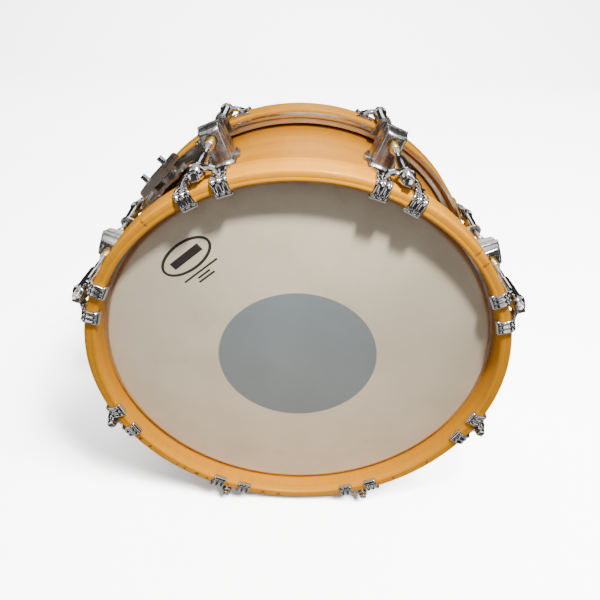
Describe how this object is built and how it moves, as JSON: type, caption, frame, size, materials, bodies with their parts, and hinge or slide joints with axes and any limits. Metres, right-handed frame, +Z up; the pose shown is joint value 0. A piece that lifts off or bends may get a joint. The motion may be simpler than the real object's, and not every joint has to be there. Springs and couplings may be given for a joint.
{
  "type": "tom tom drum",
  "caption": "Shallow wooden tom tom drum with wooden hoops, claw-hook tension rods, a dotted head and a suspended mounting plate, lying on its side.",
  "frame": {"origin": "on the drum axis at mid depth, which is the centre of the bounding box", "axes": "+Y along the drum axis from the dotted head to the plain head, +Z up as the drum lies on its side, X across"},
  "size_m": [0.3972, 0.1956, 0.3972],
  "materials": {
    "shell_maple": "clear satin lacquer",
    "hoop_maple": "clear satin lacquer",
    "coated_film": "coated film",
    "clear_film": "hazy film",
    "dot_film": "film",
    "aluminium": "satin",
    "brass": "turned",
    "zinc_steel": "zinc plated",
    "gasket_rubber": "matt",
    "bracket_steel": "satin",
    "chrome": "bright"
  },
  "bodies": {
    "drum": {"shell": "shell_maple", "vent_grommet": "brass", "front_hoop": "hoop_maple", "rear_hoop": "hoop_maple", "front_head": "coated_film", "front_dot": "dot_film", "front_head_ring": "aluminium", "rear_head": "clear_film", "rear_head_ring": "aluminium", "lug_1": "chrome", "lug_2": "chrome", "lug_3": "chrome", "lug_4": "chrome", "lug_5": "chrome", "lug_6": "chrome", "lug_7": "chrome", "lug_8": "chrome", "swivel_nuts_front": "brass", "swivel_nuts_rear": "brass", "lug_screws": "zinc_steel", "lug_washers": "zinc_steel", "lug_gaskets": "gasket_rubber", "suspension_ring": "bracket_steel", "mount_base": "bracket_steel", "mount_block": "bracket_steel", "mount_studs": "chrome", "mount_rivets": "chrome", "ear_grommets": "gasket_rubber"},
    "claw_f1": {"claw_f1": "chrome"},
    "rod_f1": {"rod_f1": "chrome"},
    "claw_f2": {"claw_f2": "chrome"},
    "rod_f2": {"rod_f2": "chrome"},
    "claw_f3": {"claw_f3": "chrome"},
    "rod_f3": {"rod_f3": "chrome"},
    "claw_f4": {"claw_f4": "chrome"},
    "rod_f4": {"rod_f4": "chrome"},
    "claw_f5": {"claw_f5": "chrome"},
    "rod_f5": {"rod_f5": "chrome"},
    "claw_f6": {"claw_f6": "chrome"},
    "rod_f6": {"rod_f6": "chrome"},
    "claw_f7": {"claw_f7": "chrome"},
    "rod_f7": {"rod_f7": "chrome"},
    "claw_f8": {"claw_f8": "chrome"},
    "rod_f8": {"rod_f8": "chrome"},
    "claw_r1": {"claw_r1": "chrome"},
    "rod_r1": {"rod_r1": "chrome"},
    "claw_r2": {"claw_r2": "chrome"},
    "rod_r2": {"rod_r2": "chrome"},
    "claw_r3": {"claw_r3": "chrome"},
    "rod_r3": {"rod_r3": "chrome"},
    "claw_r4": {"claw_r4": "chrome"},
    "rod_r4": {"rod_r4": "chrome"},
    "claw_r5": {"claw_r5": "chrome"},
    "rod_r5": {"rod_r5": "chrome"},
    "claw_r6": {"claw_r6": "chrome"},
    "rod_r6": {"rod_r6": "chrome"},
    "claw_r7": {"claw_r7": "chrome"},
    "rod_r7": {"rod_r7": "chrome"},
    "claw_r8": {"claw_r8": "chrome"},
    "rod_r8": {"rod_r8": "chrome"}
  },
  "joints": [
    {"name": "claw_f1_slide", "type": "slide", "parent": "drum", "child": "claw_f1", "axis": [0, -1, 0], "range_m": [0, 0.00847]},
    {"name": "rod_f1_turn", "type": "hinge", "parent": "claw_f1", "child": "rod_f1", "pos_m": [0.18385, -0.0944, 0.07615], "axis": [0, -1, 0], "range_deg": [0, 2880]},
    {"name": "claw_f2_slide", "type": "slide", "parent": "drum", "child": "claw_f2", "axis": [0, -1, 0], "range_m": [0, 0.00847]},
    {"name": "rod_f2_turn", "type": "hinge", "parent": "claw_f2", "child": "rod_f2", "pos_m": [0.07615, -0.0944, 0.18385], "axis": [0, -1, 0], "range_deg": [0, 2880]},
    {"name": "claw_f3_slide", "type": "slide", "parent": "drum", "child": "claw_f3", "axis": [0, -1, 0], "range_m": [0, 0.00847]},
    {"name": "rod_f3_turn", "type": "hinge", "parent": "claw_f3", "child": "rod_f3", "pos_m": [-0.07615, -0.0944, 0.18385], "axis": [0, -1, 0], "range_deg": [0, 2880]},
    {"name": "claw_f4_slide", "type": "slide", "parent": "drum", "child": "claw_f4", "axis": [0, -1, 0], "range_m": [0, 0.00847]},
    {"name": "rod_f4_turn", "type": "hinge", "parent": "claw_f4", "child": "rod_f4", "pos_m": [-0.18385, -0.0944, 0.07615], "axis": [0, -1, 0], "range_deg": [0, 2880]},
    {"name": "claw_f5_slide", "type": "slide", "parent": "drum", "child": "claw_f5", "axis": [0, -1, 0], "range_m": [0, 0.00847]},
    {"name": "rod_f5_turn", "type": "hinge", "parent": "claw_f5", "child": "rod_f5", "pos_m": [-0.18385, -0.0944, -0.07615], "axis": [0, -1, 0], "range_deg": [0, 2880]},
    {"name": "claw_f6_slide", "type": "slide", "parent": "drum", "child": "claw_f6", "axis": [0, -1, 0], "range_m": [0, 0.00847]},
    {"name": "rod_f6_turn", "type": "hinge", "parent": "claw_f6", "child": "rod_f6", "pos_m": [-0.07615, -0.0944, -0.18385], "axis": [0, -1, 0], "range_deg": [0, 2880]},
    {"name": "claw_f7_slide", "type": "slide", "parent": "drum", "child": "claw_f7", "axis": [0, -1, 0], "range_m": [0, 0.00847]},
    {"name": "rod_f7_turn", "type": "hinge", "parent": "claw_f7", "child": "rod_f7", "pos_m": [0.07615, -0.0944, -0.18385], "axis": [0, -1, 0], "range_deg": [0, 2880]},
    {"name": "claw_f8_slide", "type": "slide", "parent": "drum", "child": "claw_f8", "axis": [0, -1, 0], "range_m": [0, 0.00847]},
    {"name": "rod_f8_turn", "type": "hinge", "parent": "claw_f8", "child": "rod_f8", "pos_m": [0.18385, -0.0944, -0.07615], "axis": [0, -1, 0], "range_deg": [0, 2880]},
    {"name": "claw_r1_slide", "type": "slide", "parent": "drum", "child": "claw_r1", "axis": [0, 1, 0], "range_m": [0, 0.00847]},
    {"name": "rod_r1_turn", "type": "hinge", "parent": "claw_r1", "child": "rod_r1", "pos_m": [0.18385, 0.0944, 0.07615], "axis": [0, 1, 0], "range_deg": [0, 2880]},
    {"name": "claw_r2_slide", "type": "slide", "parent": "drum", "child": "claw_r2", "axis": [0, 1, 0], "range_m": [0, 0.00847]},
    {"name": "rod_r2_turn", "type": "hinge", "parent": "claw_r2", "child": "rod_r2", "pos_m": [0.07615, 0.0944, 0.18385], "axis": [0, 1, 0], "range_deg": [0, 2880]},
    {"name": "claw_r3_slide", "type": "slide", "parent": "drum", "child": "claw_r3", "axis": [0, 1, 0], "range_m": [0, 0.00847]},
    {"name": "rod_r3_turn", "type": "hinge", "parent": "claw_r3", "child": "rod_r3", "pos_m": [-0.07615, 0.0944, 0.18385], "axis": [0, 1, 0], "range_deg": [0, 2880]},
    {"name": "claw_r4_slide", "type": "slide", "parent": "drum", "child": "claw_r4", "axis": [0, 1, 0], "range_m": [0, 0.00847]},
    {"name": "rod_r4_turn", "type": "hinge", "parent": "claw_r4", "child": "rod_r4", "pos_m": [-0.18385, 0.0944, 0.07615], "axis": [0, 1, 0], "range_deg": [0, 2880]},
    {"name": "claw_r5_slide", "type": "slide", "parent": "drum", "child": "claw_r5", "axis": [0, 1, 0], "range_m": [0, 0.00847]},
    {"name": "rod_r5_turn", "type": "hinge", "parent": "claw_r5", "child": "rod_r5", "pos_m": [-0.18385, 0.0944, -0.07615], "axis": [0, 1, 0], "range_deg": [0, 2880]},
    {"name": "claw_r6_slide", "type": "slide", "parent": "drum", "child": "claw_r6", "axis": [0, 1, 0], "range_m": [0, 0.00847]},
    {"name": "rod_r6_turn", "type": "hinge", "parent": "claw_r6", "child": "rod_r6", "pos_m": [-0.07615, 0.0944, -0.18385], "axis": [0, 1, 0], "range_deg": [0, 2880]},
    {"name": "claw_r7_slide", "type": "slide", "parent": "drum", "child": "claw_r7", "axis": [0, 1, 0], "range_m": [0, 0.00847]},
    {"name": "rod_r7_turn", "type": "hinge", "parent": "claw_r7", "child": "rod_r7", "pos_m": [0.07615, 0.0944, -0.18385], "axis": [0, 1, 0], "range_deg": [0, 2880]},
    {"name": "claw_r8_slide", "type": "slide", "parent": "drum", "child": "claw_r8", "axis": [0, 1, 0], "range_m": [0, 0.00847]},
    {"name": "rod_r8_turn", "type": "hinge", "parent": "claw_r8", "child": "rod_r8", "pos_m": [0.18385, 0.0944, -0.07615], "axis": [0, 1, 0], "range_deg": [0, 2880]}
  ],
  "couplings": [
    {"joint": "rod_f1_turn", "follows": "claw_f1_slide", "rad_per_m": 5936.9},
    {"joint": "rod_f2_turn", "follows": "claw_f2_slide", "rad_per_m": 5936.9},
    {"joint": "rod_f3_turn", "follows": "claw_f3_slide", "rad_per_m": 5936.9},
    {"joint": "rod_f4_turn", "follows": "claw_f4_slide", "rad_per_m": 5936.9},
    {"joint": "rod_f5_turn", "follows": "claw_f5_slide", "rad_per_m": 5936.9},
    {"joint": "rod_f6_turn", "follows": "claw_f6_slide", "rad_per_m": 5936.9},
    {"joint": "rod_f7_turn", "follows": "claw_f7_slide", "rad_per_m": 5936.9},
    {"joint": "rod_f8_turn", "follows": "claw_f8_slide", "rad_per_m": 5936.9},
    {"joint": "rod_r1_turn", "follows": "claw_r1_slide", "rad_per_m": 5936.9},
    {"joint": "rod_r2_turn", "follows": "claw_r2_slide", "rad_per_m": 5936.9},
    {"joint": "rod_r3_turn", "follows": "claw_r3_slide", "rad_per_m": 5936.9},
    {"joint": "rod_r4_turn", "follows": "claw_r4_slide", "rad_per_m": 5936.9},
    {"joint": "rod_r5_turn", "follows": "claw_r5_slide", "rad_per_m": 5936.9},
    {"joint": "rod_r6_turn", "follows": "claw_r6_slide", "rad_per_m": 5936.9},
    {"joint": "rod_r7_turn", "follows": "claw_r7_slide", "rad_per_m": 5936.9},
    {"joint": "rod_r8_turn", "follows": "claw_r8_slide", "rad_per_m": 5936.9}
  ]
}
